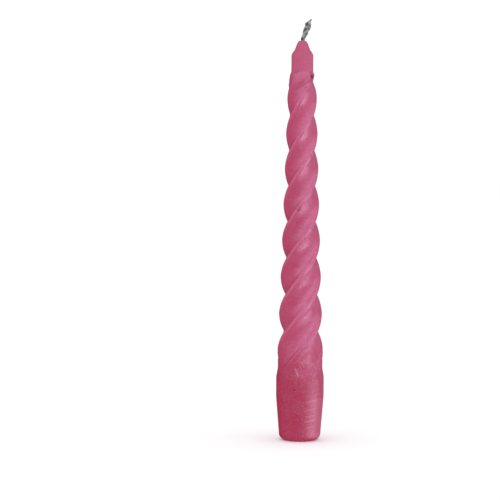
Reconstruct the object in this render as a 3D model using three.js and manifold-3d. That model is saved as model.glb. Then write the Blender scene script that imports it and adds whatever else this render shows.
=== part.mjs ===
// Twisted taper candle: one stick of dyed wax with four flutes wound round it, and a plaited cotton wick.
// Millimetres, +Z up, +X to the side that the wick leans to. The origin is the middle of the flat base.

import * as THREE from 'three';
import { mergeVertices } from 'three/addons/utils/BufferGeometryUtils.js';
import Module from 'manifold-3d';

// Lengths along the wax, from the base up
const FOOT_TAPER_LENGTH = 21; // the foot widens over this length
const FOOT_BAND_LENGTH = 9; // then it is a plain round band, up to where the flutes run out
const TWIST_LENGTH = 136; // from the foot band to the shoulder
const SHOULDER_LENGTH = 8; // the ridges draw in over this length
const SHOULDER_ROUNDING = 2; // and end in a soft step in to the collar, this long
const COLLAR_LENGTH = 6.9; // plain round neck
const TIP_BEVEL_LENGTH = 2.9; // the neck turns in
const TIP_CONE_LENGTH = 4.2; // steep cone up to the wick

// Diameters of the wax
const BASE_DIAMETER = 19.8;
const FOOT_DIAMETER = 22.7;
const KNEE_DIAMETER = 19.3; // pull of the flare: the taper bends in towards this size above the foot
const KNEE_LENGTH = 35; // height of that pull above the foot band
const NECK_RIDGE_DIAMETER = 13.6; // across the ridges under the shoulder
const SHOULDER_TOP_DIAMETER = 11.7; // across the ridges at the step in to the collar
const COLLAR_DIAMETER = 10.4;
const BEVEL_PULL = 1; // the neck keeps its size up to about this height of the bevel
const TIP_DIAMETER = 7.3; // at the foot of the tip cone
const TIP_CORNER_DIAMETER = 4.6; // pull of the rounding at the top of the cone
const TIP_ROUNDING = 0.4; // depth of that pull under the very top
const TIP_WALL = 0.2; // wax left round the wick's channel at the very top
const BASE_ROUNDING = 3.2;

// Flutes: the section is drawn at the foot's diameter and shrinks with the taper
const FLUTES = 4;
const RIDGE_LAND = 1; // skin left between two flutes
const RIDGE_ROUNDING = 1.7;
const FLUTE_RADIUS = 60; // hollow of a flute
const FLUTE_SHARE_AT_NECK = 0.68; // the flutes are cut less deep at the thin end
const FLUTE_FADE_POWER = 3; // above 1 most of that loss is near the neck
const LEAD_AT_FOOT = 72.3; // height of one full turn
const LEAD_AT_NECK = 65.4;
const START_ANGLE = THREE.MathUtils.degToRad(23.8); // direction of a ridge at the top of the foot band

// Ends of the flutes: on the foot a ledge and then a ramp down to the full depth, at the shoulder a dip
const LEDGE_DEPTH = 1.3; // at a flute's right side; at its left side the ledge comes out flush
const LEDGE_EDGE = 6; // the ledge drops to its depth over this length
const LEDGE_LENGTH = 8; // the ramp starts this much above the foot band
const RAMP_SLOPE = 0.18;
const RAMP_BLEND = 4; // power of the blend between the ramp and the flute: higher is crisper
const UPPER_RUN_OUT_START = 1.5; // the flutes end this much under the collar
const UPPER_RUN_OUT = 4; // and reach their full depth over this length
const UPPER_RUN_OUT_TILT = 5; // they end this much lower on the -X side

// Wick: three plaits braided flat, held in a channel that runs right through the wax
const PLAITS = 3;
const PLAIT_GAP = 0.15; // between two plaits where they cross
const PLAIT_PITCH = 12; // length of one full weave of a plait
const WEAVE_SWING = 0.92; // half width of a plait's swing across the braid, in plaits with their gap
const WEAVE_DEPTH = 0.71; // half of its swing through the braid, in the same measure
const WICK_WIDTH = 2.1;
const WICK_END_WIDTH = 3.2; // the braid opens out above the wax
const WICK_OPENING = 6.5; // over this length
const WICK_FREE_HEIGHT = 9.4; // from the wax's top to the middle of the slanted cut
const WICK_REACH = 2.7; // the cut's middle is this far to +X
const WICK_BEND_START = 1.2; // the wick starts to lean this much below the wax's top
const WICK_LOWER_PULL = 4; // it stays upright to about this height, then leans
const WICK_UPPER_PULL = 4.6; // and straightens again this much below the cut
const WICK_CUT_ANGLE = THREE.MathUtils.degToRad(37); // slope of the cut across the wick's flat side
const WICK_BASE_RECESS = 0.4; // the wick ends this much above the base
const CHANNEL_CLEARANCE = 0.12;

// Facets, and how far a cutting body reaches past what it cuts
const COLUMNS = 40; // round the wax
const COLUMN_CROWDING = 0.45; // how much closer the columns stand on the ridges than in the flutes
const TWIST_ROWS = 68;
const TAPER_ROWS = 3;
const ROUNDING_ROWS = 4;
const CHANNEL_SIDES = 20;
const PLAIT_SIDES = 5;
const STEPS_PER_PLAIT_PITCH = 13;
const CUT_OVERRUN = 20;

const WAX = { color: '#b8547a', roughness: 0.42, metalness: 0 };
const COTTON = { color: '#85868a', roughness: 0.9, metalness: 0 };

// Heights that follow from the lengths
const footBandBottom = FOOT_TAPER_LENGTH;
const footTop = footBandBottom + FOOT_BAND_LENGTH;
const twistTop = footTop + TWIST_LENGTH;
const shoulderTop = twistTop + SHOULDER_LENGTH;
const collarBottom = shoulderTop + SHOULDER_ROUNDING;
const collarTop = collarBottom + COLLAR_LENGTH;
const coneBottom = collarTop + TIP_BEVEL_LENGTH;
const waxTop = coneBottom + TIP_CONE_LENGTH;

// The plaits' size and swing that make up the wick's width, and the channel that the wick passes through
const plaitDiameter = (WICK_WIDTH - 2 * WEAVE_SWING * PLAIT_GAP) / (1 + 2 * WEAVE_SWING);
const weaveWidth = WEAVE_SWING * (plaitDiameter + PLAIT_GAP);
const weaveDepth = WEAVE_DEPTH * (plaitDiameter + PLAIT_GAP);
const channelRadius = Math.hypot(weaveWidth, weaveDepth) + plaitDiameter / 2 + CHANNEL_CLEARANCE;

const wasm = await Module();
wasm.setup();

// The candle's outline without its flutes, as radius and height, one curve after another from the base up.
function outlineCurves() {
  const point = (diameter, height) => new THREE.Vector2(diameter / 2, height);
  const flatRadius = BASE_DIAMETER / 2 - BASE_ROUNDING;
  const baseEdge = new THREE.EllipseCurve(
    flatRadius, BASE_ROUNDING, BASE_ROUNDING, BASE_ROUNDING, -Math.PI / 2, 0);
  const bandBottom = point(FOOT_DIAMETER, footBandBottom);
  const bandTop = point(FOOT_DIAMETER, footTop);
  const knee = point(KNEE_DIAMETER, footTop + KNEE_LENGTH);
  const ridgeTop = point(NECK_RIDGE_DIAMETER, twistTop);
  const shoulderEnd = point(SHOULDER_TOP_DIAMETER, shoulderTop);
  const shoulderCorner = point(COLLAR_DIAMETER, shoulderTop + SHOULDER_ROUNDING / 2);
  const neckBottom = point(COLLAR_DIAMETER, collarBottom);
  const neckTop = point(COLLAR_DIAMETER, collarTop);
  const bevelCorner = point(COLLAR_DIAMETER, collarTop + BEVEL_PULL);
  const coneFoot = point(TIP_DIAMETER, coneBottom);
  const coneCorner = point(TIP_CORNER_DIAMETER, waxTop - TIP_ROUNDING);
  const coneTop = new THREE.Vector2(channelRadius + TIP_WALL, waxTop);
  return [
    { curve: baseEdge, rows: ROUNDING_ROWS },
    { curve: new THREE.LineCurve(point(BASE_DIAMETER, BASE_ROUNDING), bandBottom), rows: TAPER_ROWS },
    { curve: new THREE.LineCurve(bandBottom, bandTop), rows: TAPER_ROWS },
    { curve: new THREE.QuadraticBezierCurve(bandTop, knee, ridgeTop), rows: TWIST_ROWS },
    { curve: new THREE.LineCurve(ridgeTop, shoulderEnd), rows: ROUNDING_ROWS },
    { curve: new THREE.QuadraticBezierCurve(shoulderEnd, shoulderCorner, neckBottom), rows: TAPER_ROWS },
    { curve: new THREE.LineCurve(neckBottom, neckTop), rows: TAPER_ROWS },
    { curve: new THREE.QuadraticBezierCurve(neckTop, bevelCorner, coneFoot), rows: ROUNDING_ROWS },
    { curve: new THREE.QuadraticBezierCurve(coneFoot, coneCorner, coneTop), rows: ROUNDING_ROWS },
  ];
}

// All the outline's points from the base up, each once.
function outlinePoints() {
  const points = [];
  for (const { curve, rows } of outlineCurves()) {
    const part = curve.getSpacedPoints(rows);
    points.push(...(points.length > 0 ? part.slice(1) : part));
  }
  return points;
}

// How far the section has turned at a height. The lead shrinks evenly from the foot to the neck.
function twistAngle(height) {
  const rise = THREE.MathUtils.clamp(height, footTop, collarBottom) - footTop;
  const lead = THREE.MathUtils.lerp(LEAD_AT_FOOT, LEAD_AT_NECK, rise / TWIST_LENGTH);
  const meanLead = (LEAD_AT_FOOT + lead) / 2;
  return START_ANGLE + (2 * Math.PI * rise) / meanLead;
}

// The fluted section's outline as a share of its ridge radius, over the angle from a ridge.
// A ridge is a strip of skin and a rounding on each side of it; a hollow arc joins two roundings.
function sectionShare(angle) {
  const ridgeRadius = FOOT_DIAMETER / 2;
  const halfPitch = Math.PI / FLUTES;
  const fromRidge = Math.abs(THREE.MathUtils.euclideanModulo(angle + halfPitch, 2 * halfPitch) - halfPitch);
  const halfLand = RIDGE_LAND / 2 / ridgeRadius;
  if (fromRidge <= halfLand) {
    return 1;
  }
  const roundingCentre = ridgeRadius - RIDGE_ROUNDING;
  const reach = FLUTE_RADIUS + RIDGE_ROUNDING;
  const spread = halfPitch - halfLand;
  const across = roundingCentre * Math.sin(spread);
  const fluteCentre = roundingCentre * Math.cos(spread) + Math.sqrt(reach ** 2 - across ** 2);
  const lean = Math.atan2(fluteCentre * Math.sin(spread), fluteCentre * Math.cos(spread) - roundingCentre);
  const jointRise = RIDGE_ROUNDING * Math.sin(lean);
  const jointReach = roundingCentre + RIDGE_ROUNDING * Math.cos(lean);
  if (fromRidge <= halfLand + Math.atan2(jointRise, jointReach)) {
    const turn = fromRidge - halfLand;
    const side = roundingCentre * Math.sin(turn);
    return (roundingCentre * Math.cos(turn) + Math.sqrt(RIDGE_ROUNDING ** 2 - side ** 2)) / ridgeRadius;
  }
  const turn = halfPitch - fromRidge;
  const side = fluteCentre * Math.sin(turn);
  return (fluteCentre * Math.cos(turn) - Math.sqrt(FLUTE_RADIUS ** 2 - side ** 2)) / ridgeRadius;
}

// How much of the flutes' full depth is cut at a height and direction, from 0 on the collar to 1.
function fluteShare(height, direction) {
  const rise = THREE.MathUtils.clamp((height - footTop) / TWIST_LENGTH, 0, 1);
  const farSide = (1 - Math.cos(direction)) / 2;
  const end = collarBottom - UPPER_RUN_OUT_START - UPPER_RUN_OUT_TILT * farSide;
  const fromNeck = THREE.MathUtils.smoothstep(end - height, 0, UPPER_RUN_OUT);
  return fromNeck * THREE.MathUtils.lerp(1, FLUTE_SHARE_AT_NECK, rise ** FLUTE_FADE_POWER);
}

// The most that a flute may lie below the ridges there: nothing on the foot, then the ledge, then the ramp.
// The angle is counted from a ridge.
function depthLimit(height, angle) {
  const flutePitch = (2 * Math.PI) / FLUTES;
  const across = THREE.MathUtils.euclideanModulo(angle, flutePitch) / flutePitch;
  const ledge = LEDGE_DEPTH * across * THREE.MathUtils.smoothstep(height, footTop, footTop + LEDGE_EDGE);
  return ledge + RAMP_SLOPE * Math.max(height - footTop - LEDGE_LENGTH, 0);
}

// The lesser of two depths, with a soft change from one to the other.
function softLesser(one, other) {
  const larger = Math.max(one, other);
  const ratio = larger > 0 ? Math.min(one, other) / larger : 0;
  return (larger * ratio) / (1 + ratio ** RAMP_BLEND) ** (1 / RAMP_BLEND);
}

// One ring of skin points at an outline point, at angles that crowd towards the ridges.
function skinRing(outlinePoint) {
  const ring = [];
  const turned = twistAngle(outlinePoint.y);
  for (let column = 0; column < COLUMNS; column += 1) {
    const even = (2 * Math.PI * column) / COLUMNS;
    const angle = even - (COLUMN_CROWDING * Math.sin(FLUTES * even)) / FLUTES;
    const direction = angle + turned;
    const cut = outlinePoint.x * fluteShare(outlinePoint.y, direction) * (1 - sectionShare(angle));
    const radius = outlinePoint.x - softLesser(cut, depthLimit(outlinePoint.y, angle));
    const x = radius * Math.cos(direction);
    const y = radius * Math.sin(direction);
    ring.push(new THREE.Vector3(x, y, outlinePoint.y));
  }
  return ring;
}

// The middle of a ring.
function middleOf(ring) {
  const sum = new THREE.Vector3();
  for (const point of ring) {
    sum.add(point);
  }
  return sum.divideScalar(ring.length);
}

// A closed skin over the rings, with a flat cap at each end.
function loft(rings) {
  const columns = rings[0].length;
  const last = rings.length - 1;
  const points = [...rings.flat(), middleOf(rings[0]), middleOf(rings[last])];
  const topMiddle = points.length - 1;
  const bottomMiddle = topMiddle - 1;
  const faces = [];
  for (let column = 0; column < columns; column += 1) {
    const next = (column + 1) % columns;
    for (let row = 0; row < last; row += 1) {
      const low = row * columns;
      const high = low + columns;
      faces.push(low + column, low + next, high + next);
      faces.push(low + column, high + next, high + column);
    }
    faces.push(bottomMiddle, next, column);
    faces.push(topMiddle, last * columns + column, last * columns + next);
  }
  const geometry = new THREE.BufferGeometry().setFromPoints(points);
  geometry.setIndex(faces);
  return geometry;
}

function toSolid(geometry) {
  const bare = geometry.clone();
  bare.deleteAttribute('normal');
  bare.deleteAttribute('uv');
  const merged = mergeVertices(bare);
  const vertProperties = new Float32Array(merged.attributes.position.array);
  const triVerts = new Uint32Array(merged.index.array);
  return new wasm.Manifold(new wasm.Mesh({ numProp: 3, vertProperties, triVerts }));
}

function toMesh(name, solid, finish) {
  const { vertProperties, triVerts } = solid.getMesh();
  const geometry = new THREE.BufferGeometry();
  geometry.setAttribute('position', new THREE.BufferAttribute(vertProperties, 3));
  geometry.setIndex(new THREE.BufferAttribute(triVerts, 1));
  geometry.computeVertexNormals();
  const mesh = new THREE.Mesh(geometry, new THREE.MeshStandardMaterial(finish));
  mesh.name = name;
  return mesh;
}

// The channel for the wick, cut out of the wax from below the base to above the tip.
function wickChannel() {
  const length = waxTop + 2 * CUT_OVERRUN;
  const channel = new THREE.CylinderGeometry(channelRadius, channelRadius, length, CHANNEL_SIDES);
  channel.rotateX(Math.PI / 2);
  channel.translate(0, 0, waxTop / 2);
  return channel;
}

// Wax: the lofted skin with the wick's channel through it.
function waxBody() {
  const skin = loft(outlinePoints().map(skinRing));
  return toMesh('wax_body', toSolid(skin).subtract(toSolid(wickChannel())), WAX);
}

// The wick's middle line: straight up the channel, then leaning over to +X and straightening again.
class WickLine {
  constructor() {
    const point = (x, z) => new THREE.Vector3(x, 0, z);
    this.bendStart = waxTop - WICK_BEND_START;
    const cutHeight = waxTop + WICK_FREE_HEIGHT;
    this.free = new THREE.CubicBezierCurve3(
      point(0, this.bendStart),
      point(0, this.bendStart + WICK_LOWER_PULL),
      point(WICK_REACH, cutHeight - WICK_UPPER_PULL),
      point(WICK_REACH, cutHeight),
    );
    this.freeLength = this.free.getLength();
    this.cut = this.bendStart + this.freeLength;
  }

  // Its point a length above the base. Past the cut it goes straight on.
  point(along) {
    if (along < this.bendStart) {
      return new THREE.Vector3(0, 0, along);
    }
    const point = this.free.getPointAt(Math.min((along - this.bendStart) / this.freeLength, 1));
    point.z += Math.max(along - this.cut, 0);
    return point;
  }

  // The direction across the wick's flat side there.
  across(along) {
    const share = THREE.MathUtils.clamp((along - this.bendStart) / this.freeLength, 0, 1);
    return new THREE.Vector3(0, 1, 0).cross(this.free.getTangentAt(share));
  }

  // How much the braid has opened out there.
  opening(along) {
    const share = THREE.MathUtils.smoothstep(along, waxTop, waxTop + WICK_OPENING);
    return THREE.MathUtils.lerp(1, WICK_END_WIDTH / WICK_WIDTH, share);
  }
}

// The middle line of one plait. It weaves from side to side once in a pitch, and through the braid twice.
class PlaitCurve extends THREE.Curve {
  constructor(line, phase) {
    super();
    this.line = line;
    this.phase = phase;
    this.length = line.cut + WICK_END_WIDTH - WICK_BASE_RECESS;
  }

  // The length above the base at a share of the plait.
  along(share) {
    return WICK_BASE_RECESS + share * this.length;
  }

  getPoint(share, target = new THREE.Vector3()) {
    const along = this.along(share);
    const opening = this.line.opening(along);
    const turn = (2 * Math.PI * (along - waxTop)) / PLAIT_PITCH + this.phase;
    target.copy(this.line.point(along));
    target.addScaledVector(this.line.across(along), opening * weaveWidth * Math.sin(turn));
    target.y += opening * weaveDepth * Math.sin(2 * turn);
    return target;
  }
}

// One ring of a plait's skin, square to its middle line except at the level end above the base.
function plaitRing(curve, share) {
  const centre = curve.getPoint(share);
  const tangent = share > 0 ? curve.getTangent(share) : new THREE.Vector3(0, 0, 1);
  const across = new THREE.Vector3(0, 1, 0).cross(tangent).normalize();
  const through = tangent.clone().cross(across);
  const radius = (plaitDiameter / 2) * curve.line.opening(curve.along(share));
  const ring = [];
  for (let side = 0; side < PLAIT_SIDES; side += 1) {
    const angle = (2 * Math.PI * side) / PLAIT_SIDES;
    const point = centre.clone();
    point.addScaledVector(across, radius * Math.cos(angle));
    point.addScaledVector(through, radius * Math.sin(angle));
    ring.push(point);
  }
  return ring;
}

// The block that the slanted cut takes off the wick's end: everything above the cut's plane.
function wickOffcut(line) {
  const size = 2 * CUT_OVERRUN;
  const block = new THREE.BoxGeometry(size, size, size);
  block.translate(0, 0, size / 2);
  block.rotateY(-WICK_CUT_ANGLE);
  const middle = line.point(line.cut);
  block.translate(middle.x, middle.y, middle.z);
  return block;
}

// One plait of the wick, from just above the base to the slanted cut.
function wickPlait(index) {
  const line = new WickLine();
  const curve = new PlaitCurve(line, (2 * Math.PI * index) / PLAITS);
  const steps = Math.round((curve.length * STEPS_PER_PLAIT_PITCH) / PLAIT_PITCH);
  const rings = [];
  for (let step = 0; step <= steps; step += 1) {
    rings.push(plaitRing(curve, step / steps));
  }
  const plait = toSolid(loft(rings)).subtract(toSolid(wickOffcut(line)));
  return toMesh(`wick_plait_${index + 1}`, plait, COTTON);
}

const candle = new THREE.Group();
candle.add(waxBody());
for (let index = 0; index < PLAITS; index += 1) {
  candle.add(wickPlait(index));
}

export default candle;
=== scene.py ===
"""Dresses the twisted taper candle: a dyed paraffin stick with wound flutes, and its braided cotton wick."""

import logging
import math
from dataclasses import dataclass, field
from enum import Enum
from typing import Any

import bpy
import numpy as np
from mathutils import Matrix, Vector


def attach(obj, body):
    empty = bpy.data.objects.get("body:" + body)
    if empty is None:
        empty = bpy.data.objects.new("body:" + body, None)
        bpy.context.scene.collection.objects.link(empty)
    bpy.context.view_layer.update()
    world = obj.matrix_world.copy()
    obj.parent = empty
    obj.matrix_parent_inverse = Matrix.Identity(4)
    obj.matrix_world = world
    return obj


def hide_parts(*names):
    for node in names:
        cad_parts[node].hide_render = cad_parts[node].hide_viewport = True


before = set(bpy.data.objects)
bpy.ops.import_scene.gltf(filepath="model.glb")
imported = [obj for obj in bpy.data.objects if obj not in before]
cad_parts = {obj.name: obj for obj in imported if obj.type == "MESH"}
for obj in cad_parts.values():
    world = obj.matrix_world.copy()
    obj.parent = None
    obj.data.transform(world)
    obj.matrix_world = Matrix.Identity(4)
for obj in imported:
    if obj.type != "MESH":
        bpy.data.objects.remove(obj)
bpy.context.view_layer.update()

LOG = logging.getLogger("candle")
METRES = 0.001  # one millimetre
BODY = "root"
FRONT = -90.0  # the front's direction in degrees, counted from +X
NO_RUN = 1e-9  # keeps a dent whose two ends are one place from a division by zero
NO_CUT = 1e-12  # keeps a place without a flute from a division by zero


class Slot(Enum):
    """Names of the wax's and the wick's material slots."""

    WAX = "wax"
    COTTON = "wick_cotton"


def linear(hex_colour: str) -> tuple[float, float, float, float]:
    """Turns an sRGB hex colour into linear light.

    Args:
        hex_colour: Six hex digits, with or without a leading hash.

    Returns:
        Red, green, blue and an alpha of 1.
    """
    digits = hex_colour.lstrip("#")
    shares = [int(digits[place : place + 2], 16) / 255 for place in (0, 2, 4)]
    light = [s / 12.92 if s <= 0.04045 else ((s + 0.055) / 1.055) ** 2.4 for s in shares]
    return (light[0], light[1], light[2], 1.0)


def add_node(
    tree: bpy.types.NodeTree,
    kind: str,
    settings: dict[str, Any] | None = None,
    links: dict[str, bpy.types.NodeSocket] | None = None,
) -> bpy.types.Node:
    """Adds one node to a tree.

    Args:
        tree: The tree that gets the node.
        kind: Blender's name for the node's type.
        settings: A value for each input socket or property, by name.
        links: The output socket that feeds each input socket, by name.

    Returns:
        The new node.
    """
    node = tree.nodes.new(kind)
    for name, value in (settings or {}).items():
        if name in node.inputs:
            node.inputs[name].default_value = value
        else:
            setattr(node, name, value)
    for name, source in (links or {}).items():
        tree.links.new(source, node.inputs[name])
    return node


def empty_material(name: str) -> bpy.types.Material:
    """Makes a material whose node tree is still empty.

    Args:
        name: The material's name.

    Returns:
        The new material.
    """
    material = bpy.data.materials.new(name)
    material.use_nodes = True
    material.node_tree.nodes.clear()
    return material


def smooth_step(value: np.ndarray, low: float, high: float) -> np.ndarray:
    """Eases from 0 to 1.

    Args:
        value: Where to read it.
        low: Up to here it is 0.
        high: From here on it is 1.

    Returns:
        The eased share.
    """
    share = np.clip((value - low) / (high - low), 0, 1)
    return share * share * (3 - 2 * share)


def grid_faces(rows: int, columns: int) -> np.ndarray:
    """Lists the four-sided faces of a tube of rings.

    Args:
        rows: How many rings there are.
        columns: How many points each ring has.

    Returns:
        One row of four vertex numbers for each face, facing out where the rings turn to the left going up.
    """
    row, column = np.meshgrid(np.arange(rows - 1), np.arange(columns), indexing="ij")
    following = (column + 1) % columns
    low, high = row * columns, (row + 1) * columns
    return np.stack([low + column, low + following, high + following, high + column], axis=-1).reshape(-1, 4)


def make_piece(name: str, points: np.ndarray, faces: list[list[int]]) -> bpy.types.Object:
    """Makes a smooth mesh object that rides on the candle.

    Args:
        name: The piece's name.
        points: Its vertices in millimetres.
        faces: Vertex numbers of each face.

    Returns:
        The new object.
    """
    mesh = bpy.data.meshes.new(name)
    mesh.from_pydata((points * METRES).tolist(), [], faces)
    mesh.polygons.foreach_set("use_smooth", np.ones(len(faces), dtype=bool))
    mesh.update()
    piece = bpy.data.objects.new(name, mesh)
    bpy.context.scene.collection.objects.link(piece)
    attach(piece, BODY)
    return piece


def dress(pieces: list[bpy.types.Object], material: bpy.types.Material) -> None:
    """Gives pieces their material.

    Args:
        pieces: The objects to dress.
        material: What they are made of.
    """
    for piece in pieces:
        piece.data.materials.clear()
        piece.data.materials.append(material)


@dataclass
class FlutedSection:
    """The stick's section in millimetres: narrow ridges with a hollow flute between each two."""

    flutes: int = 4
    ridge_radius: float = 11.35
    land: float = 1.0
    rounding: float = 1.7
    flute_radius: float = 60.0

    def share(self, angle: np.ndarray) -> np.ndarray:
        """Gives the section's outline as a share of its ridge radius.

        Args:
            angle: Angles from a ridge, in radians.

        Returns:
            The share at each angle, 1 on a ridge.
        """
        half_pitch = math.pi / self.flutes
        from_ridge = np.abs((angle + half_pitch) % (2 * half_pitch) - half_pitch)
        half_land = self.land / 2 / self.ridge_radius
        centre = self.ridge_radius - self.rounding
        reach = self.flute_radius + self.rounding
        spread = half_pitch - half_land
        across = centre * math.sin(spread)
        flute_centre = centre * math.cos(spread) + math.sqrt(reach**2 - across**2)
        lean = math.atan2(flute_centre * math.sin(spread), flute_centre * math.cos(spread) - centre)
        joint = half_land + math.atan2(
            self.rounding * math.sin(lean), centre + self.rounding * math.cos(lean)
        )
        turn = np.clip(from_ridge - half_land, 0, None)
        side = np.clip(centre * np.sin(turn), None, self.rounding)
        rounded = centre * np.cos(turn) + np.sqrt(self.rounding**2 - side**2)
        back = half_pitch - from_ridge
        hollow = flute_centre * np.cos(back) - np.sqrt(
            self.flute_radius**2 - (flute_centre * np.sin(back)) ** 2
        )
        off_land = np.where(from_ridge <= joint, rounded, hollow)
        radius = np.where(from_ridge <= half_land, self.ridge_radius, off_land)
        return radius / self.ridge_radius


@dataclass(frozen=True)
class Dent:
    """A small dent or groove in the wax, between two places given as direction in degrees and height.

    The direction is counted from the front, to the right. Lengths are in millimetres. One with a negative
    depth is a burr, which stands up.
    """

    start: tuple[float, float]
    end: tuple[float, float]
    radius: float
    depth: float

    def pressed(self, radius: np.ndarray, direction: np.ndarray, height: np.ndarray) -> np.ndarray:
        """How far the skin is pressed in.

        Args:
            radius: The skin's distance from the axis.
            direction: Directions round the stick, in radians from +X.
            height: Heights above the base.

        Returns:
            A depth for each place.
        """
        first, last = (math.radians(place[0] + FRONT) for place in (self.start, self.end))
        along = (direction - first + math.pi) % (2 * math.pi) - math.pi
        side, rise = radius * along, height - self.start[1]
        run, climb = radius * (last - first), self.end[1] - self.start[1]
        share = np.clip((side * run + rise * climb) / (run**2 + climb**2 + NO_RUN), 0, 1)
        distance = np.hypot(side - share * run, rise - share * climb)
        return self.depth * np.exp(-((distance / self.radius) ** 2))


# the wax paints shade into each dent by its depth, and a highlight onto each burr
DENTS = (
    Dent((51, 173.4), (54, 173.3), 0.6, 1.0),  # hole under the collar, on the right
    Dent((55, 173.0), (33, 170.8), 0.42, 0.15),  # and the groove that runs down from it
    Dent((-45, 174.6), (-20, 175.8), 0.4, 0.1),  # crease under the collar, on the left
    Dent((13, 168.1), (20, 168.5), 0.34, 0.11),  # chip in the neck, near the front
    Dent((-11, 110.4), (-11, 110.4), 0.54, 0.28),  # pits half way up
    Dent((-6, 111.9), (-6, 111.9), 0.42, 0.18),
    Dent((11, 97.0), (11, 97.0), 0.5, 0.2),
    Dent((-16, 25.0), (-16, 25.0), 0.54, 0.32),  # pit in the foot band
    Dent((-58, 21.8), (-57, 22.2), 0.38, 0.1),  # two freckles on the left of the foot
    Dent((-64, 19.9), (-62, 19.7), 0.38, 0.1),
    Dent((-12.8, 35.2), (-5.5, 31.8), 0.3, -0.09),  # tool strokes where a flute runs out on the foot, raised and painted pale as highlights
    Dent((-2, 37.0), (1.5, 35.6), 0.26, -0.05),
    Dent((3.5, 38.4), (8, 36.2), 0.28, -0.07),
    Dent((10, 39.4), (13, 37.4), 0.26, -0.05),
    Dent((24, 41.2), (19, 38.2), 0.85, -0.045),  # low raised streak beside the strokes, painted pale as a highlight
    Dent((16, 22.3), (42, 22.7), 0.24, -0.03),  # turning marks on the front of the foot, raised and painted pale as highlights
    Dent((14, 19.5), (44, 20.1), 0.24, -0.035),
    Dent((12, 15.3), (40, 16.1), 0.26, -0.05),
    Dent((16, 12.3), (42, 12.9), 0.24, -0.05),
    Dent((12, 9.9), (40, 10.7), 0.26, -0.055),
    Dent((16, 6.9), (37, 7.5), 0.24, -0.055),
)


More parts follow.
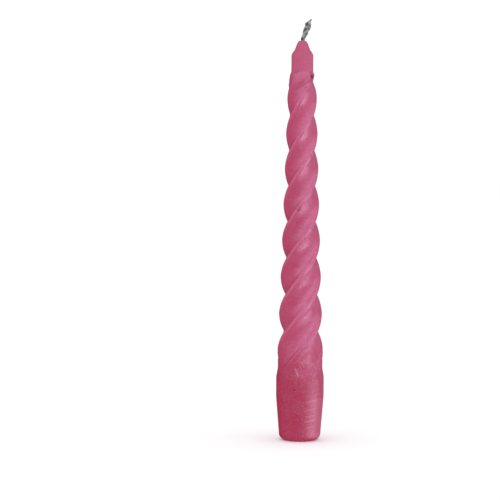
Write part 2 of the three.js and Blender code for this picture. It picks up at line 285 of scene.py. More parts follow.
@dataclass
class WaxStick:
    """The candle's wax, in millimetres: foot, twisted taper, collar and cone tip."""

    base_diameter: float = 19.8
    base_rounding: float = 3.2
    base_rounding_points: int = 12
    dimple_height: float = 0.45
    dimple_flat_radius: float = 1.3
    dimple_corner_radius: float = 1.6
    dimple_edge_radius: float = 1.8
    middle_radius: float = 0.05
    foot_diameter: float = 22.7
    foot_taper_length: float = 21.0
    foot_band_length: float = 9.0
    knee_diameter: float = 19.3
    knee_length: float = 35.0
    twist_length: float = 136.0
    neck_ridge_diameter: float = 13.6
    shoulder_length: float = 8.0
    shoulder_top_diameter: float = 11.7
    shoulder_rounding: float = 2.0
    collar_diameter: float = 10.4
    collar_length: float = 6.9
    tip_bevel_length: float = 2.9
    bevel_pull: float = 1.0
    tip_diameter: float = 7.3
    tip_corner_diameter: float = 4.6
    tip_rounding: float = 0.4
    tip_cone_length: float = 4.2
    tip_top_diameter: float = 3.4
    tip_lip_width: float = 0.3
    tip_lip_height: float = 0.1
    wick_seat_diameter: float = 1.0
    wick_seat_depth: float = 0.5
    flute_share_at_neck: float = 0.68
    flute_fade_power: float = 3.0
    lead_at_foot: float = 72.3
    lead_at_neck: float = 65.4
    start_angle: float = math.radians(23.8)
    ledge_depth: float = 1.3
    ledge_edge: float = 6.0
    ledge_length: float = 8.0
    ramp_slope: float = 0.18
    ramp_blend: float = 4.0
    upper_run_out_start: float = 1.5
    upper_run_out: float = 4.0
    upper_run_out_tilt: float = 5.0
    # the band along the ridges: rubbed smoother, and painted paler as a highlight in the wax's colour
    rubbed_width: float = 0.75
    rubbed_start: float = 6.0
    rubbed_end: float = 26.0
    seam_height: float = 0.1
    seam_width: float = 0.3
    seam_start: float = 12.0
    seam_end: float = 24.0
    columns: int = 320
    column_crowding: float = 0.45  # how much closer the columns stand at the ridges
    row_spacing: float = 0.32
    section: FlutedSection = field(default_factory=FlutedSection)

    def __post_init__(self) -> None:
        """Works out the heights that follow from the lengths."""
        self.foot_top = self.foot_taper_length + self.foot_band_length
        self.twist_top = self.foot_top + self.twist_length
        self.shoulder_top = self.twist_top + self.shoulder_length
        self.collar_bottom = self.shoulder_top + self.shoulder_rounding
        self.collar_top = self.collar_bottom + self.collar_length
        self.cone_bottom = self.collar_top + self.tip_bevel_length
        self.top = self.cone_bottom + self.tip_cone_length

    def outline(self) -> np.ndarray:
        """Traces the stick's outline without its flutes.

        Returns:
            Rows of radius and height, from the middle of the base to the wick at the tip.
        """
        base, foot = self.base_diameter / 2, self.foot_diameter / 2
        ridge, collar = self.neck_ridge_diameter / 2, self.collar_diameter / 2
        shoulder = (self.shoulder_top_diameter / 2, self.shoulder_top)
        tip, corner = self.tip_diameter / 2, self.tip_corner_diameter / 2
        seat, seat_bottom = self.wick_seat_diameter / 2, self.top - self.wick_seat_depth
        dimple = (self.dimple_flat_radius, self.dimple_height)
        dimple_corner = (self.dimple_corner_radius, self.dimple_height)
        dimple_edge = (self.dimple_edge_radius, 0.0)
        edge = np.linspace(0, math.pi / 2, self.base_rounding_points)
        rounding = np.stack(
            [base - self.base_rounding * (1 - np.sin(edge)), self.base_rounding * (1 - np.cos(edge))], axis=1
        )
        knee = (self.knee_diameter / 2, self.foot_top + self.knee_length)
        collar_corner = (collar, self.shoulder_top + self.shoulder_rounding / 2)
        bevel_corner = (collar, self.collar_top + self.bevel_pull)
        cone_foot, cone_top = (tip, self.cone_bottom), (self.tip_top_diameter / 2, self.top)
        lip = (seat + self.tip_lip_width, self.top + self.tip_lip_height)
        parts = [
            self.line((self.middle_radius, self.dimple_height), dimple),
            self.bend(dimple, dimple_corner, dimple_edge),
            self.line(dimple_edge, (base - self.base_rounding, 0.0)),
            rounding,
            self.line((base, self.base_rounding), (foot, self.foot_taper_length)),
            self.line((foot, self.foot_taper_length), (foot, self.foot_top)),
            self.bend((foot, self.foot_top), knee, (ridge, self.twist_top)),
            self.line((ridge, self.twist_top), shoulder),
            self.bend(shoulder, collar_corner, (collar, self.collar_bottom)),
            self.line((collar, self.collar_bottom), (collar, self.collar_top)),
            self.bend((collar, self.collar_top), bevel_corner, cone_foot),
            self.bend(cone_foot, (corner, self.top - self.tip_rounding), cone_top),
            self.bend(cone_top, lip, (seat, seat_bottom)),
            self.line((seat, seat_bottom), (self.middle_radius, seat_bottom)),
        ]
        points = [parts[0]] + [part[1:] for part in parts[1:]]
        return np.concatenate(points)

    def steps(self, length: float) -> int:
        """Gives how many rows a stretch of outline of that length takes."""
        return max(2, math.ceil(length / self.row_spacing) + 1)

    def line(self, start: tuple[float, float], end: tuple[float, float]) -> np.ndarray:
        """Points of a straight stretch of outline, from its start to its end."""
        share = np.linspace(0, 1, self.steps(math.dist(start, end)))[:, None]
        return np.array(start) * (1 - share) + np.array(end) * share

    def bend(
        self, start: tuple[float, float], pull: tuple[float, float], end: tuple[float, float]
    ) -> np.ndarray:
        """Points of a bent stretch of outline.

        Args:
            start: Radius and height at its lower end.
            pull: The corner that it bends towards.
            end: Radius and height at its upper end.

        Returns:
            Rows of radius and height.
        """
        rows = self.steps(math.dist(start, pull) + math.dist(pull, end))
        share = np.linspace(0, 1, rows)[:, None]
        return (
            np.array(start) * (1 - share) ** 2
            + np.array(pull) * 2 * share * (1 - share)
            + np.array(end) * share**2
        )

    def twist(self, height: np.ndarray) -> np.ndarray:
        """How far the section has turned.

        Args:
            height: Heights above the base.

        Returns:
            An angle in radians for each height.
        """
        rise = np.clip(height, self.foot_top, self.collar_bottom) - self.foot_top
        lead = self.lead_at_foot + (self.lead_at_neck - self.lead_at_foot) * rise / self.twist_length
        return self.start_angle + 2 * math.pi * rise / ((self.lead_at_foot + lead) / 2)

    def flute_share(self, height: np.ndarray, direction: np.ndarray) -> np.ndarray:
        """How much of the flutes' full depth is cut.

        Args:
            height: Heights above the base.
            direction: Directions round the stick, in radians from +X.

        Returns:
            0 on the collar, up to 1 below it.
        """
        rise = np.clip((height - self.foot_top) / self.twist_length, 0, 1)
        tilt = self.upper_run_out_tilt * (1 - np.cos(direction)) / 2
        end = self.collar_bottom - self.upper_run_out_start - tilt
        from_neck = smooth_step(end - height, 0, self.upper_run_out)
        return from_neck * (1 + (self.flute_share_at_neck - 1) * rise**self.flute_fade_power)

    def depth_limit(self, height: np.ndarray, angle: np.ndarray) -> np.ndarray:
        """The most that a flute may lie below the ridges: nothing on the foot, then a ledge, then a ramp.

        Args:
            height: Heights above the base.
            angle: Angles from a ridge, in radians.

        Returns:
            The limit in millimetres.
        """
        pitch = 2 * math.pi / self.section.flutes
        across = (angle % pitch) / pitch
        ledge = self.ledge_depth * across * smooth_step(height - self.foot_top, 0, self.ledge_edge)
        return ledge + self.ramp_slope * np.clip(height - self.foot_top - self.ledge_length, 0, None)

    def surface(self) -> tuple[np.ndarray, dict[str, np.ndarray], int]:
        """Works out the skin.

        Returns:
            The points ring by ring from the base up, how much each is rubbed and painted with sheen on the
            ridges and how far it is pressed in (mm), and the number of rings.
        """
        outline = self.outline()
        radius, height = outline[:, :1], outline[:, 1:]
        even = np.linspace(0, 2 * math.pi, self.columns, endpoint=False)[None, :]
        flutes = self.section.flutes
        angle = even - self.column_crowding * np.sin(flutes * even) / flutes
        direction = angle + self.twist(height)
        cut = radius * self.flute_share(height, direction) * (1 - self.section.share(angle))
        limit = self.depth_limit(height, angle)
        blend = self.ramp_blend
        depth = cut * limit / (cut**blend + limit**blend + NO_CUT) ** (1 / blend)
        pressed = sum(dent.pressed(radius, direction, height) for dent in DENTS)
        pitch = 2 * math.pi / flutes
        off_ridge = radius * np.abs((angle + pitch / 2) % pitch - pitch / 2)
        foot_top, below_collar = self.foot_top, height < self.twist_top
        raised = smooth_step(height, foot_top + self.seam_start, foot_top + self.seam_end) * below_collar
        seam = self.seam_height * np.exp(-((off_ridge / self.seam_width) ** 2)) * raised
        reach = radius - depth - pressed + seam
        x, y, z = reach * np.cos(direction), reach * np.sin(direction), np.broadcast_to(height, reach.shape)
        points = np.stack([x, y, z], axis=-1)
        # a band along each ridge, rubbed smoother and painted paler as a highlight
        worn_and_sheen = smooth_step(height, foot_top + self.rubbed_start, foot_top + self.rubbed_end) * below_collar
        rubbed_and_sheen = np.exp(-((off_ridge / self.rubbed_width) ** 2)) * worn_and_sheen
        return points.reshape(-1, 3), {"rubbed_and_sheen": rubbed_and_sheen.ravel(), "pressed": pressed.ravel()}, len(outline)

    def build(self) -> bpy.types.Object:
        """Builds the wax in place of its solid, and dresses it.

        Returns:
            The new object.
        """
        points, marks, rows = self.surface()
        faces = grid_faces(rows, self.columns).tolist()
        faces.append(list(range((rows - 1) * self.columns, rows * self.columns)))
        faces.append(list(range(self.columns - 1, -1, -1)))
        piece = make_piece("wax_stick", points, faces)
        for name, amounts in marks.items():
            piece.data.attributes.new(name, "FLOAT", "POINT").data.foreach_set("value", amounts)
        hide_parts("wax_body")
        dress([piece], DyedParaffin().make())
        return piece


@dataclass
class BraidedWick:
    """The wick in millimetres: three plaits of cotton braided flat, leaning over above the wax."""

    plaits: int = 3
    pitch: float = 12.0
    half_width: float = 0.5
    half_depth: float = 0.38
    plait_half_width: float = 0.52
    plait_half_depth: float = 0.38
    end_opening: float = 3.2 / 2.1  # 3.2 mm wide at the end, 2.1 mm in the wax
    opening_length: float = 6.5
    wax_top: float = 190.0
    bend_start: float = 1.2
    lower_pull: float = 4.0
    upper_pull: float = 4.6
    reach: float = 2.7
    free_height: float = 9.4
    base_recess: float = 0.4
    cut_angle: float = math.radians(37)
    threads: int = 9
    thread_relief: float = 0.07
    thread_lay: float = 9.0
    sides: int = 72
    hidden_step: float = 0.8
    shown_step: float = 0.1
    shown_below_tip: float = 4.0
    trace_points: int = 400
    cut_search: float = 5.0
    cut_halvings: int = 30

    def __post_init__(self) -> None:
        """Traces the free part of the wick's middle line, a bent line from just inside the wax to the cut."""
        start, cut = self.wax_top - self.bend_start, self.wax_top + self.free_height
        lower, upper = [0, start + self.lower_pull], [self.reach, cut - self.upper_pull]
        pulls = np.array([[0, start], lower, upper, [self.reach, cut]])
        share = np.linspace(0, 1, self.trace_points)[:, None]
        trace = (
            pulls[0] * (1 - share) ** 3
            + pulls[1] * 3 * share * (1 - share) ** 2
            + pulls[2] * 3 * share**2 * (1 - share)
            + pulls[3] * share**3
        )
        step = np.diff(trace, axis=0)
        self.trace = trace
        self.trace_lean = np.arctan2(step[:, 0], step[:, 1])
        self.trace_along = start + np.concatenate([[0], np.cumsum(np.hypot(step[:, 0], step[:, 1]))])
        self.cut = float(self.trace_along[-1])

    def middle(self, along: np.ndarray) -> tuple[np.ndarray, np.ndarray, np.ndarray]:
        """The wick's middle line: straight up the wax, then leaning over and straightening again.

        Args:
            along: Lengths from the base.

        Returns:
            Its x, its z and its lean in radians, at each length.
        """
        x = np.interp(along, self.trace_along, self.trace[:, 0])
        z = np.interp(along, self.trace_along, self.trace[:, 1])
        z = z + np.minimum(along - self.trace_along[0], 0) + np.maximum(along - self.cut, 0)
        lean = np.interp(along, self.trace_along[:-1], self.trace_lean)
        return x, z, lean

    def opening(self, along: np.ndarray) -> np.ndarray:
        """How much the braid has opened out at each length."""
        share = smooth_step(along, self.wax_top, self.wax_top + self.opening_length)
        return 1 + (self.end_opening - 1) * share

    def plait_middle(self, along: np.ndarray, phase: float) -> np.ndarray:
        """One plait's middle line.

        Args:
            along: Lengths from the base.
            phase: Where in the weave the plait starts, in radians.

        Returns:
            A point for each length.
        """
        x, z, lean = self.middle(along)
        opening = self.opening(along)
        turn = 2 * math.pi * (along - self.wax_top) / self.pitch + phase
        side = opening * self.half_width * np.sin(turn)
        depth = opening * self.half_depth * np.sin(2 * turn)
        return np.stack([x + side * np.cos(lean), depth, z - side * np.sin(lean)], axis=-1)

    def plait_skin(self, along: np.ndarray, phase: float) -> np.ndarray:
        """The skin of one plait, with its threads.

        Args:
            along: Lengths from the base, one row of them for each ring.
            phase: Where in the weave the plait starts, in radians.

        Returns:
            Points, ring by ring.
        """
        tiny = 0.01
        centre = self.plait_middle(along, phase)
        tangent = self.plait_middle(along + tiny, phase) - self.plait_middle(along - tiny, phase)
        tangent /= np.linalg.norm(tangent, axis=-1, keepdims=True)
        across = np.cross(np.array([0.0, 1.0, 0.0]), tangent)
        across /= np.linalg.norm(across, axis=-1, keepdims=True)
        through = np.cross(tangent, across)
        angle = np.linspace(0, 2 * math.pi, self.sides, endpoint=False)[None, :]
        lobe = np.abs(np.cos(self.threads * angle / 2 + math.pi * along / self.thread_lay))
        relief = 1 - self.thread_relief * 2 * (1 - lobe)
        reach = (relief * self.opening(along))[..., None]
        return (
            centre
            + across * reach * (self.plait_half_width * np.cos(angle))[..., None]
            + through * reach * (self.plait_half_depth * np.sin(angle))[..., None]
        )

    def cut_lengths(self, phase: float) -> np.ndarray:
        """Where the slanted cut crosses each line of points along a plait.

        Args:
            phase: Where in the weave the plait starts, in radians.

        Returns:
            A length from the base for each point of a ring.
        """
        x, z, _ = self.middle(np.array([self.cut]))
        normal = np.array([-math.sin(self.cut_angle), 0.0, math.cos(self.cut_angle)])
        low = np.full((1, self.sides), self.cut - self.cut_search)
        high = np.full((1, self.sides), self.cut + self.cut_search)
        for _ in range(self.cut_halvings):
            half = (low + high) / 2
            above = (self.plait_skin(half, phase) - np.array([x[0], 0.0, z[0]])) @ normal > 0
            low, high = np.where(above, low, half), np.where(above, half, high)
        return low[0]

    def build_plait(self, index: int) -> bpy.types.Object:
        """Builds one plait in place of its solid.

        Args:
            index: Which plait, from 0.

        Returns:
            The new object.
        """
        phase = 2 * math.pi * index / self.plaits
        shown_from = self.wax_top - self.shown_below_tip
        hidden = np.arange(self.base_recess, shown_from, self.hidden_step)
        cut = self.cut_lengths(phase)
        rows = math.ceil((self.cut - shown_from) / self.shown_step)
        share = np.linspace(0, 1, rows)[:, None]
        shown = shown_from + (cut[None, :] - shown_from) * share
        along = np.concatenate([np.broadcast_to(hidden[:, None], (len(hidden), self.sides)), shown])
        points = self.plait_skin(along, phase).reshape(-1, 3)
        faces = grid_faces(len(along), self.sides).tolist()
        bottom_middle, top_middle = len(points), len(points) + 1
        middles = [points[: self.sides].mean(0), points[-self.sides :].mean(0)]
        points = np.concatenate([points, middles])
        last = (len(along) - 1) * self.sides
        for side in range(self.sides):
            following = (side + 1) % self.sides
            faces.append([bottom_middle, following, side])
            faces.append([top_middle, last + side, last + following])
        piece = make_piece(f"wick_plait_braided_{index + 1}", points, faces)
        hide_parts(f"wick_plait_{index + 1}")
        return piece

    def build(self) -> list[bpy.types.Object]:
        """Builds all the plaits, and dresses them.

        Returns:
            The new objects, one for each plait.
        """
        plaits = [self.build_plait(index) for index in range(self.plaits)]
        dress(plaits, WaxedCotton().make())
        return plaits


@dataclass(frozen=True)
class WaxGuides:
    """What the wax's finish follows: places and heights on the stick, its marks, and the wide swell."""

    place: bpy.types.NodeSocket
    height: bpy.types.NodeSocket
    rubbed_and_sheen: bpy.types.NodeSocket
    pressed: bpy.types.NodeSocket
    sunk: bpy.types.NodeSocket
    swell: bpy.types.NodeSocket


@dataclass(frozen=True)
class DyedParaffin:
    """Paraffin wax dyed pink through and through, pressed and turned.

    Light goes a millimetre or two into it, which softens its edges, and its skin is satin with a faint
    orange peel where it cooled, so highlights break up into soft patches. Its ridges are rubbed smoother and
    painted paler as a highlight, its collar is dull, dents are painted with shade and burrs with a highlight,
    and turning left faint rings round its foot.
    """

    foot: str = "#a61442"
    stem: str = "#b73c65"
    neck: str = "#b4355e"
    collar: str = "#b43d64"
    shade_heights: tuple[float, ...] = (0.165, 0.25, 0.5, 0.82, 0.91)
    bloom_and_sheen: str = "#c8708f"
    bloom_grain_mm: float = 9.0
    bloom_share: float = 0.1
    ridge_highlight_share: float = 0.4
    shadow: str = "#860422"
    shadow_depth_mm: float = 0.24
    burr_highlight: str = "#e0a2b8"
    burr_highlight_height_mm: float = 0.1
    burr_highlight_share: float = 0.45
    crystal_mm: float = 0.45
    crystal_window: tuple[float, float] = (0.45, 0.72)
    crystal_share: float = 0.32
    stick_height_mm: float = 190.0
    ior: float = 1.44
    roughness_window: tuple[float, float] = (0.35, 0.65)
    roughness_low: float = 0.32
    roughness_high: float = 0.47
    rubbed_roughness: float = 0.24
    collar_roughness: float = 0.75
    collar_bottom_mm: float = 175.0
    collar_fade_mm: float = 3.0
    scatter_weight: float = 0.12
    scatter_depth_mm: float = 1.6
    scatter_spread: tuple[float, float, float] = (1.0, 0.35, 0.45)
    peel_grain_mm: float = 0.7
    peel_height_mm: float = 0.14
    swell_grain_mm: float = 4.0
    swell_height_mm: float = 0.17
    ring_spacing_mm: float = 2.2
    ring_run: float = 0.05
    ring_height_mm: float = 0.08
    ring_top_mm: float = 27.0
    ring_fade_mm: float = 5.0

    def tone_by_height(self, tree: bpy.types.NodeTree, guides: WaxGuides) -> bpy.types.NodeSocket:
        """The wax's pink, darker towards the foot, which changes with height up to the collar.

        Args:
            tree: The tree that gets its nodes.
            guides: What the finish follows.

        Returns:
            The colour.
        """
        rise = add_node(
            tree, "ShaderNodeMapRange", {"From Max": self.stick_height_mm * METRES}, {"Value": guides.height}
        )
        shade = add_node(tree, "ShaderNodeValToRGB", {}, {"Fac": rise.outputs["Result"]})
        ramp = shade.color_ramp
        for share, tone in zip(self.shade_heights, (self.foot, self.stem, self.neck, self.neck, self.collar)):
            step = ramp.elements.new(share)
            step.color = linear(tone)
        ramp.elements.remove(ramp.elements[0])
        ramp.elements.remove(ramp.elements[-1])
        return shade.outputs["Color"]

    def paleness(self, tree: bpy.types.NodeTree, guides: WaxGuides) -> bpy.types.NodeSocket:
        """How pale the skin is: a faint bloom in clouds, fine crystals, and a painted highlight along the
        rubbed ridges.

        Args:
            tree: The tree that gets its nodes.
            guides: What the finish follows.

        Returns:
            A share.
        """
        cloud = add_node(
            tree,
            "ShaderNodeTexNoise",
            {"Scale": 1 / (self.bloom_grain_mm * METRES), "Detail": 3.0},
            {"Vector": guides.place},
        )
        mottle = add_node(
            tree, "ShaderNodeMapRange", {"To Max": self.bloom_share}, {"Value": cloud.outputs["Fac"]}
        )
        crystal = add_node(
            tree,
            "ShaderNodeTexNoise",
            {"Scale": 1 / (self.crystal_mm * METRES), "Detail": 2.0},
            {"Vector": guides.place},
        )
        low, high = self.crystal_window
        speck = add_node(
            tree,
            "ShaderNodeMapRange",
            {"From Min": low, "From Max": high, "To Max": self.crystal_share},
            {"Value": crystal.outputs["Fac"]},
        )
        # painted highlight: the ridges are paled towards the bloom colour
        worn_and_sheen = add_node(
            tree,
            "ShaderNodeMapRange",
            {"To Max": self.ridge_highlight_share},
            {"Value": guides.rubbed_and_sheen, "To Min": mottle.outputs["Result"]},
        )
        pale = add_node(tree, "ShaderNodeMath", {}, {"Value": worn_and_sheen.outputs["Result"]})
        # both inputs of this node have one name, so the second is linked by its number
        tree.links.new(speck.outputs["Result"], pale.inputs[1])
        return pale.outputs["Value"]

    def colour(self, tree: bpy.types.NodeTree, guides: WaxGuides) -> bpy.types.NodeSocket:
        """The skin's colour: the pink by height with its pale places, then a painted highlight on burrs and
        painted shade in dents over it.

        Args:
            tree: The tree that gets its nodes.
            guides: What the finish follows.

        Returns:
            The colour.
        """
        bloom_and_sheen_mix = add_node(
            tree,
            "ShaderNodeMixRGB",
            {"Color2": linear(self.bloom_and_sheen)},
            {"Fac": self.paleness(tree, guides), "Color1": self.tone_by_height(tree, guides)},
        )
        # painted highlight: a burr is paled towards the burr colour as it stands up
        raised = add_node(
            tree,
            "ShaderNodeMapRange",
            {"From Max": -self.burr_highlight_height_mm, "To Max": self.burr_highlight_share},
            {"Value": guides.pressed},
        )
        burr_highlighted = add_node(
            tree,
            "ShaderNodeMixRGB",
            {"Color2": linear(self.burr_highlight)},
            {"Fac": raised.outputs["Result"], "Color1": bloom_and_sheen_mix.outputs["Color"]},
        )
        # painted shade: a dent darkens towards the shadow colour as it deepens
        shaded_dents = add_node(
            tree,
            "ShaderNodeMixRGB",
            {"Color2": linear(self.shadow)},
            {"Fac": guides.sunk, "Color1": burr_highlighted.outputs["Color"]},
        )
        return shaded_dents.outputs["Color"]

    def relief(self, tree: bpy.types.NodeTree, guides: WaxGuides) -> bpy.types.NodeSocket:
        """The skin's relief: a wide swell, a fine orange peel, and rings round the foot.

        Args:
            tree: The tree that gets its nodes.
            guides: What the finish follows.

        Returns:
            The direction that the skin faces.
        """
        peel = add_node(
            tree,
            "ShaderNodeTexNoise",
            {"Scale": 1 / (self.peel_grain_mm * METRES), "Detail": 2.0},
            {"Vector": guides.place},
        )
        wide = add_node(
            tree,
            "ShaderNodeBump",
            {"Distance": self.swell_height_mm * METRES, "Strength": 1.0},
            {"Height": guides.swell},
        )
        fine = add_node(
            tree,
            "ShaderNodeBump",
            {"Distance": self.peel_height_mm * METRES, "Strength": 1.0},
            {"Height": peel.outputs["Fac"], "Normal": wide.outputs["Normal"]},
        )
        stretched = add_node(
            tree,
            "ShaderNodeMapping",
            {"Scale": (self.ring_run, self.ring_run, 1.0)},
            {"Vector": guides.place},
        )
        ring = add_node(
            tree,
            "ShaderNodeTexNoise",
            {"Scale": 1 / (self.ring_spacing_mm * METRES), "Detail": 1.0},
            {"Vector": stretched.outputs["Vector"]},
        )
        fading, full = self.ring_top_mm, self.ring_top_mm - self.ring_fade_mm
        on_foot = add_node(
            tree,
            "ShaderNodeMapRange",
            {"From Min": fading * METRES, "From Max": full * METRES},
            {"Value": guides.height},
        )
        turned = add_node(
            tree,
            "ShaderNodeBump",
            {"Distance": self.ring_height_mm * METRES},
            {
                "Height": ring.outputs["Fac"],
                "Strength": on_foot.outputs["Result"],
                "Normal": fine.outputs["Normal"],
            },
        )
        return turned.outputs["Normal"]

    def roughness(self, tree: bpy.types.NodeTree, guides: WaxGuides) -> bpy.types.NodeSocket:
        """The skin's roughness: satin, smoother where it is rubbed, dull on the collar and in dents.

        Args:
            tree: The tree that gets its nodes.
            guides: What the finish follows.

        Returns:
            The roughness.
        """
        low, high = self.roughness_window
        satin = add_node(
            tree,
            "ShaderNodeMapRange",
            {"From Min": low, "From Max": high, "To Min": self.roughness_low, "To Max": self.roughness_high},
            {"Value": guides.swell},
        )
        smooth = add_node(
            tree,
            "ShaderNodeMapRange",
            {"To Max": self.rubbed_roughness},
            {"Value": guides.rubbed_and_sheen, "To Min": satin.outputs["Result"]},
        )
        start, end = self.collar_bottom_mm, self.collar_bottom_mm + self.collar_fade_mm
        matte = add_node(
            tree,
            "ShaderNodeMapRange",
            {"From Min": start * METRES, "From Max": end * METRES, "To Max": self.collar_roughness},
            {"Value": guides.height, "To Min": smooth.outputs["Result"]},
        )
        dull = add_node(
            tree,
            "ShaderNodeMapRange",
            {"To Max": self.collar_roughness},
            {"Value": guides.sunk, "To Min": matte.outputs["Result"]},
        )
        return dull.outputs["Result"]

    def guides(self, tree: bpy.types.NodeTree) -> WaxGuides:
        """Adds what the finish follows.

        Args:
            tree: The tree that gets its nodes.

        Returns:
            The outputs to follow.
        """
        place = add_node(tree, "ShaderNodeTexCoord").outputs["Object"]
        parts = add_node(tree, "ShaderNodeSeparateXYZ", {}, {"Vector": place})
        rubbed_and_sheen = add_node(tree, "ShaderNodeAttribute", {"attribute_name": "rubbed_and_sheen"})
        pressed = add_node(tree, "ShaderNodeAttribute", {"attribute_name": "pressed"}).outputs["Fac"]
        sunk = add_node(tree, "ShaderNodeMapRange", {"From Max": self.shadow_depth_mm}, {"Value": pressed})
        swell = add_node(
            tree,
            "ShaderNodeTexNoise",
            {"Scale": 1 / (self.swell_grain_mm * METRES), "Detail": 1.0},
            {"Vector": place},
        )
        return WaxGuides(
            place=place,
            height=parts.outputs["Z"],
            rubbed_and_sheen=rubbed_and_sheen.outputs["Fac"],
            pressed=pressed,
            sunk=sunk.outputs["Result"],
            swell=swell.outputs["Fac"],
        )

    def make(self) -> bpy.types.Material:
        """Builds the material.

        Returns:
            The new material.
        """
        material = empty_material("dyed_paraffin")
        tree = material.node_tree
        guides = self.guides(tree)
        shader = add_node(
            tree,
            "ShaderNodeBsdfPrincipled",
            {
                "IOR": self.ior,
                "Subsurface Weight": self.scatter_weight,
                "Subsurface Radius": self.scatter_spread,
                "Subsurface Scale": self.scatter_depth_mm * METRES,
            },
            {
                "Base Color": self.colour(tree, guides),
                "Roughness": self.roughness(tree, guides),
                "Normal": self.relief(tree, guides),
            },
        )
        add_node(tree, "ShaderNodeOutputMaterial", links={"Surface": shader.outputs["BSDF"]})
        return material


@dataclass(frozen=True)
class WaxedCotton:
    """Grey cotton yarn, braided and soaked in wax.

    Its grey is painted in blotches from a dark for shaded hollows to a light for lit crowns, painted shade
    and light; the wax gives it a dull shine, and the fibres still show as fine lines.
    """

    hollow: str = "#353433"
    lit_crown: str = "#a09e98"
    blotch_mm: float = 1.6
    blotch_window: tuple[float, float] = (0.36, 0.66)
    ior: float = 1.45
    roughness: float = 0.6
    fibre_mm: float = 0.12  # real fibres are finer, and are drawn this coarse so that they show
    fibre_height_mm: float = 0.02

    def make(self) -> bpy.types.Material:
        """Builds the material.

        Returns:
            The new material.
        """
        material = empty_material("waxed_cotton")
        tree = material.node_tree
        place = add_node(tree, "ShaderNodeTexCoord").outputs["Object"]
        fibre = add_node(
            tree,
            "ShaderNodeTexNoise",
            {"Scale": 1 / (self.fibre_mm * METRES), "Detail": 2.0},
            {"Vector": place},
        )
        blotch = add_node(
            tree,
            "ShaderNodeTexNoise",
            {"Scale": 1 / (self.blotch_mm * METRES), "Detail": 1.0},
            {"Vector": place},
        )
        low, high = self.blotch_window
        lit_crown_share = add_node(
            tree, "ShaderNodeMapRange", {"From Min": low, "From Max": high}, {"Value": blotch.outputs["Fac"]}
        )
        # painted shade and light: random blotches between the shaded-hollow dark and the lit-crown grey
        colour = add_node(
            tree,
            "ShaderNodeMixRGB",
            {"Color1": linear(self.hollow), "Color2": linear(self.lit_crown)},
            {"Fac": lit_crown_share.outputs["Result"]},
        )
        relief = add_node(
            tree,
            "ShaderNodeBump",
            {"Distance": self.fibre_height_mm * METRES},
            {"Height": fibre.outputs["Fac"]},
        )
        shader = add_node(
            tree,
            "ShaderNodeBsdfPrincipled",
            {"IOR": self.ior, "Roughness": self.roughness},
            {"Base Color": colour.outputs["Color"], "Normal": relief.outputs["Normal"]},
        )
        add_node(tree, "ShaderNodeOutputMaterial", links={"Surface": shader.outputs["BSDF"]})
        return material


@dataclass(frozen=True)
class SeamlessPaper:
    """White background paper, felted and matte, which gives an even white with hardly any grain."""

    shade: str = "#ffffff"
    grain_shade: str = "#fbfafa"
    grain_mm: float = 1.5
    roughness: float = 0.9
    shine: float = 0.2

    def make(self) -> bpy.types.Material:
        """Builds the material.

        Returns:
            The new material.
        """
        material = empty_material("seamless_paper")
        tree = material.node_tree
        place = add_node(tree, "ShaderNodeTexCoord").outputs["Object"]
        grain = add_node(
            tree, "ShaderNodeTexNoise", {"Scale": 1 / (self.grain_mm * METRES)}, {"Vector": place}
        )
        colour = add_node(
            tree,
            "ShaderNodeMixRGB",
            {"Color1": linear(self.shade), "Color2": linear(self.grain_shade)},
            {"Fac": grain.outputs["Fac"]},
        )
        shader = add_node(
            tree,
            "ShaderNodeBsdfPrincipled",
            {"Roughness": self.roughness, "Specular IOR Level": self.shine},
            {"Base Color": colour.outputs["Color"]},
        )
        add_node(tree, "ShaderNodeOutputMaterial", links={"Surface": shader.outputs["BSDF"]})
        return material


@dataclass(frozen=True)
class SoftBox:
    """A soft light that faces the candle's axis.

    Its azimuth counts from the camera's side to the right and its elevation up, both in degrees. Its size,
    its distance and the height that it aims at are in millimetres. It gives only a highlight, unless it is
    lit: then it lights what it faces and gives no highlight.
    """

    name: str
    azimuth: float
    elevation: float
    size: tuple[float, float]
    brightness: float
    lit: bool = False
    tint: str = "#d8d8ff"
    distance: float = 1400.0
    aim_height: float = 100.0

    def build(self) -> bpy.types.Object:
        """Builds the light.

        Returns:
            The new light.
        """
        lamp = bpy.data.lights.new(self.name, "AREA")
        lamp.shape = "RECTANGLE"
        lamp.size, lamp.size_y = self.size[0] * METRES, self.size[1] * METRES
        lamp.energy = self.brightness * math.pi * lamp.size * lamp.size_y
        lamp.color = linear(self.tint)[:3]
        light = bpy.data.objects.new(self.name, lamp)
        bpy.context.scene.collection.objects.link(light)
        side, rise = math.radians(self.azimuth), math.radians(self.elevation)
        away = Vector(
            (math.cos(rise) * math.sin(side), -math.cos(rise) * math.cos(side), math.sin(rise))
        )
        light.location = (Vector((0.0, 0.0, self.aim_height)) + away * self.distance) * METRES
        light.rotation_euler = away.to_track_quat("Z", "Y").to_euler()
        light.visible_camera = False
        light.visible_diffuse = self.lit
        light.visible_glossy = not self.lit
        return light


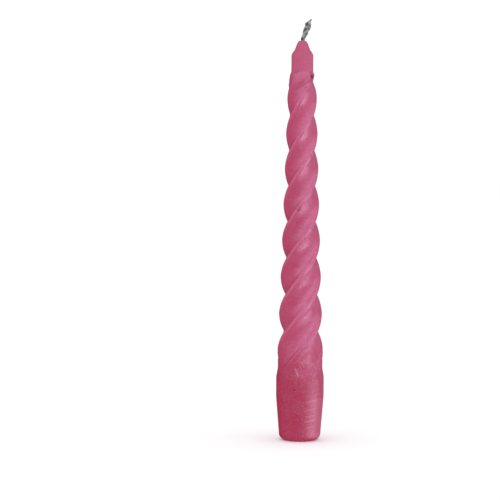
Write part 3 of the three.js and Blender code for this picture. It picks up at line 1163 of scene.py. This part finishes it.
@dataclass
class Studio:
    """The paper sweep, the lights and the camera. Lengths in millimetres."""

    white: str = "#ffffff"
    cool: str = "#dde3ff"
    cooler: str = "#ccdcff"
    half_width: float = 450.0
    front: float = -900.0
    back: float = 1700.0
    sweep_radius: float = 300.0
    wall_top: float = 1500.0
    camera_distance: float = 1500.0
    camera_elevation: float = math.radians(5.4)
    camera_roll: float = math.radians(0.35)
    picture_width: float = 237.5
    aim: tuple[float, float, float] = (-24.2, 0.0, 90.7)
    sensor: float = 36.0
    view_depth: float = 50000.0
    surround_strength: float = 1.1
    sweep_points: int = 17

    def build_paper(self) -> bpy.types.Object:
        """Builds the floor with its sweep up to the back wall.

        Returns:
            The new sheet.
        """
        turn = np.linspace(0, math.pi / 2, self.sweep_points)
        bend_y = self.back + self.sweep_radius * np.sin(turn)
        bend_z = self.sweep_radius * (1 - np.cos(turn))
        y = np.concatenate([[self.front], bend_y, [self.back + self.sweep_radius]])
        z = np.concatenate([[0.0], bend_z, [self.wall_top]])
        left = np.stack([np.full_like(y, -self.half_width), y, z], axis=1)
        right = left * np.array([-1.0, 1.0, 1.0])
        rows = len(y)
        faces = [[row, rows + row, rows + row + 1, row + 1] for row in range(rows - 1)]
        mesh = bpy.data.meshes.new("paper_sweep")
        mesh.from_pydata((np.concatenate([left, right]) * METRES).tolist(), [], faces)
        mesh.polygons.foreach_set("use_smooth", np.ones(len(faces), dtype=bool))
        paper = bpy.data.objects.new("paper_sweep", mesh)
        paper.data.materials.append(SeamlessPaper().make())
        bpy.context.scene.collection.objects.link(paper)
        # the paper neither mirrors in the candle nor lights or shades it
        paper.visible_glossy = paper.visible_diffuse = paper.visible_shadow = False
        return paper

    def build_lights(self) -> None:
        """Lights the candle: an even white surround, boxes for its highlights, and two lit from the right."""
        world = bpy.data.worlds.new("surround")
        world.use_nodes = True
        backdrop = world.node_tree.nodes["Background"]
        backdrop.inputs["Color"].default_value = linear(self.white)
        backdrop.inputs["Strength"].default_value = self.surround_strength
        bpy.context.scene.world = world
        world.cycles_visibility.glossy = False  # the surround makes no highlight
        # name, azimuth, elevation, size, brightness, then whether it is lit, tint, distance and aimed height
        for box in (
            SoftBox("low_right_box", 73.0, -27.5, (1250.0, 600.0), 7.6, tint=self.cool),
            SoftBox("low_side_box", 116.0, -28.0, (1500.0, 560.0), 1.8, tint=self.cool),
            SoftBox("foot_box", 66.0, 0.0, (150.0, 80.0), 5.6, False, self.cooler, 340.0, 31.0),
            SoftBox("right_box", 90.0, 9.0, (2600.0, 600.0), 0.9),
            SoftBox("high_left_box", -44.0, 33.0, (2400.0, 850.0), 5.0),
            SoftBox("high_right_box", 38.0, 36.0, (2000.0, 850.0), 5.2),
            SoftBox("front_box", 25.0, 0.0, (1100.0, 1000.0), 0.9),
            SoftBox("back_left_box", -150.0, 15.0, (1800.0, 1400.0), 0.05),
            SoftBox("back_right_box", 150.0, 0.0, (1800.0, 1600.0), 0.4),
            SoftBox("foot_card", 60.0, 0.0, (50.0, 36.0), 0.6, True, self.white, 90.0, 12.0),
            SoftBox("side_box", 70.0, 20.0, (1300.0, 1300.0), 0.02, True, self.white),
        ):
            box.build()

    def build_camera(self) -> bpy.types.Object:
        """Sets the camera at the picture's viewing angle.

        Returns:
            The new camera.
        """
        data = bpy.data.cameras.new("camera")
        data.sensor_width = self.sensor
        data.lens = self.sensor * self.camera_distance / self.picture_width
        data.clip_end = self.view_depth * METRES
        camera = bpy.data.objects.new("camera", data)
        bpy.context.scene.collection.objects.link(camera)
        away = Vector((0.0, -math.cos(self.camera_elevation), math.sin(self.camera_elevation)))
        place = (Vector(self.aim) + away * self.camera_distance) * METRES
        upright = Matrix.Rotation(math.pi / 2 - self.camera_elevation, 4, "X")
        roll = Matrix.Rotation(self.camera_roll, 4, "Z")
        camera.matrix_world = Matrix.Translation(place) @ upright @ roll
        bpy.context.scene.camera = camera
        return camera

    def build(self) -> None:
        """Builds the whole studio."""
        self.build_paper()
        self.build_lights()
        self.build_camera()
        bpy.context.scene.view_settings.view_transform = "Standard"


def write_sizes() -> None:
    """Brings the view layer up to date."""
    bpy.context.view_layer.update()


def main() -> None:
    """Builds and dresses the candle, then the studio round it."""
    logging.basicConfig(level=logging.INFO, format="%(name)s: %(message)s")
    for piece in [WaxStick().build(), *BraidedWick().build()]:
        LOG.info("%s: %d faces", piece.name, len(piece.data.polygons))
    Studio().build()
    write_sizes()


if __name__ == "__main__":
    main()
